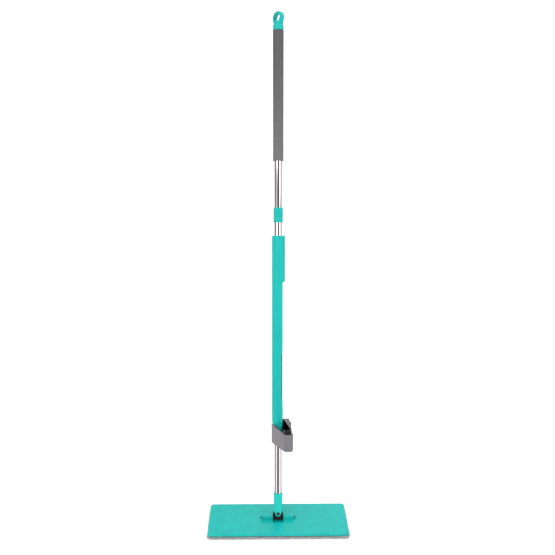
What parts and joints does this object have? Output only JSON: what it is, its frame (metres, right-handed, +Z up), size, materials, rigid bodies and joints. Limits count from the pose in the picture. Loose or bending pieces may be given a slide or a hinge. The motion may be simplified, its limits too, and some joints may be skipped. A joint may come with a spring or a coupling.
{
  "type": "flat squeeze mop",
  "caption": "Flat floor mop with a folding, tilting rectangular head, a steel pole with a long grip, and a sliding sleeve that carries a wringer loop.",
  "frame": {"origin": "centre of the pad's flat underside, where the mop stands on the floor", "axes": "+X along the mop head towards the wringer's side, +Y backwards, the way the pole leans, +Z up"},
  "size_m": [0.345, 0.4023, 1.24],
  "materials": {
    "teal_plastic": "smooth moulded, soft gloss",
    "polished_steel": "polished stainless tube",
    "pin_steel": "dark coated steel",
    "grip_rubber": "soft matte grip",
    "grey_plastic": "smooth moulded",
    "black_plastic": "smooth moulded",
    "lip_rubber": "soft rubber",
    "nylon": "natural white",
    "hook_tape": "woven hook tape",
    "woven_backing": "woven loop backing",
    "microfibre": "looped microfibre pile"
  },
  "bodies": {
    "pole": {"lower_tube": "polished_steel", "upper_tube": "polished_steel", "coupling_core": "nylon", "fork_socket": "teal_plastic", "fold_pin": "pin_steel", "fold_pin_washer": "pin_steel", "grip": "grip_rubber", "end_cap": "teal_plastic"},
    "collar": {"coupling_collar": "teal_plastic"},
    "loop": {"hang_loop": "teal_plastic", "stem_clip": "pin_steel"},
    "slider": {"slider_sleeve": "teal_plastic", "sleeve_bush_top": "nylon", "sleeve_bush_low": "nylon", "guide_shoe": "black_plastic", "wringer_housing": "grey_plastic", "squeeze_frame": "black_plastic", "wiping_lip_1": "lip_rubber", "wiping_lip_2": "lip_rubber", "wiping_lip_3": "lip_rubber"},
    "cross": {"joint_cross": "black_plastic"},
    "head": {"head_plate": "teal_plastic", "tilt_pin": "pin_steel", "tilt_pin_cap": "pin_steel", "hook_strip_front": "hook_tape", "hook_strip_back": "hook_tape", "pad_backing": "woven_backing", "mop_pad": "microfibre"}
  },
  "joints": [
    {"name": "slider_travel", "type": "slide", "parent": "pole", "child": "slider", "axis": [0, 0.2588, 0.9659], "range_m": [-0.08, 0.165]},
    {"name": "pole_fold", "type": "hinge", "parent": "pole", "child": "cross", "pos_m": [0, 0.0029, 0.02992], "axis": [0, -0.9659, 0.2588], "range_deg": [-60, 90]},
    {"name": "pole_tilt", "type": "hinge", "parent": "cross", "child": "head", "pos_m": [0, 0, 0.0191], "axis": [-1, 0, 0], "range_deg": [-45, 50]},
    {"name": "collar_turn", "type": "hinge", "parent": "pole", "child": "collar", "pos_m": [0, 0.19546, 0.74857], "axis": [0, 0.2588, 0.9659], "range_deg": [0, 90]},
    {"name": "hang_loop_turn", "type": "hinge", "parent": "pole", "child": "loop", "pos_m": [0, 0.31866, 1.20835], "axis": [0, 0.2588, 0.9659], "continuous": true}
  ]
}
